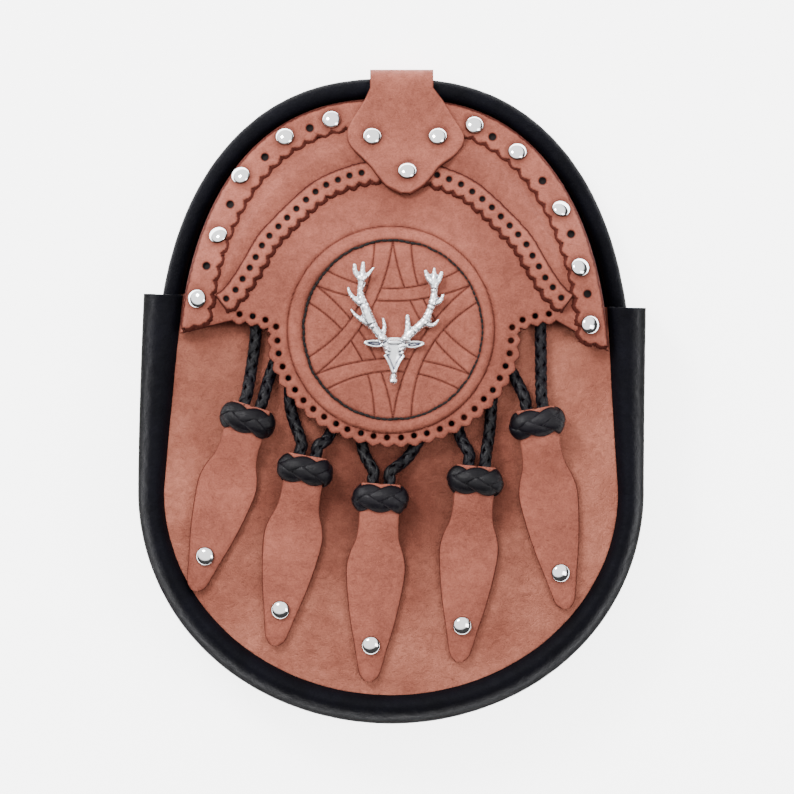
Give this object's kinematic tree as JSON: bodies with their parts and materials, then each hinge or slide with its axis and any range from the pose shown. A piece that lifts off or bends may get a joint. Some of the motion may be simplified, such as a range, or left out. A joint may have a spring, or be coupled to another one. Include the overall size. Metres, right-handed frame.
{
  "type": "sporran pouch",
  "caption": "Leather sporran pouch with a rolled black edge, a pierced and riveted flap, a cast stag's head badge and leather tassels on braided cords.",
  "frame": {"origin": "middle of the whole outline, on the surface that the pouch lies on, its back down", "axes": "+X to the right of the front face, +Y to its top, +Z out of the front face"},
  "size_m": [0.1981, 0.2544, 0.0513],
  "materials": {
    "tan_leather": "undyed tan leather with a fine napped grain, darker cut edges and punched holes",
    "black_leather": "soft black leather with a low sheen",
    "braid": "black braided leather lace",
    "rivets": "polished domed caps",
    "cast_badge": "cast and polished, darker in its hollows"
  },
  "bodies": {
    "root": {"back_panel": "tan_leather", "top_roll": "black_leather", "gusset": "black_leather", "front_panel": "tan_leather", "belt_loop_left": "tan_leather", "belt_loop_right": "tan_leather", "flap": "tan_leather", "flap_trim_outer": "tan_leather", "flap_trim_arch": "tan_leather", "hanger_tab": "tan_leather", "stag_badge": "cast_badge", "trim_rivet_1": "rivets", "trim_rivet_2": "rivets", "trim_rivet_3": "rivets", "trim_rivet_4": "rivets", "trim_rivet_5": "rivets", "trim_rivet_6": "rivets", "trim_rivet_7": "rivets", "trim_rivet_8": "rivets", "trim_rivet_9": "rivets", "trim_rivet_10": "rivets", "tab_rivet_1": "rivets", "tab_rivet_2": "rivets", "tab_rivet_3": "rivets", "tassel_leather_1": "tan_leather", "tassel_knot_1": "braid", "tassel_rivet_1": "rivets", "tassel_cord_left_1": "braid", "tassel_cord_right_1": "braid", "tassel_leather_2": "tan_leather", "tassel_knot_2": "braid", "tassel_rivet_2": "rivets", "tassel_cord_left_2": "braid", "tassel_cord_right_2": "braid", "tassel_leather_3": "tan_leather", "tassel_knot_3": "braid", "tassel_rivet_3": "rivets", "tassel_cord_left_3": "braid", "tassel_cord_right_3": "braid", "tassel_leather_4": "tan_leather", "tassel_knot_4": "braid", "tassel_rivet_4": "rivets", "tassel_cord_left_4": "braid", "tassel_cord_right_4": "braid", "tassel_leather_5": "tan_leather", "tassel_knot_5": "braid", "tassel_rivet_5": "rivets", "tassel_cord_left_5": "braid", "tassel_cord_right_5": "braid"}
  },
  "joints": []
}
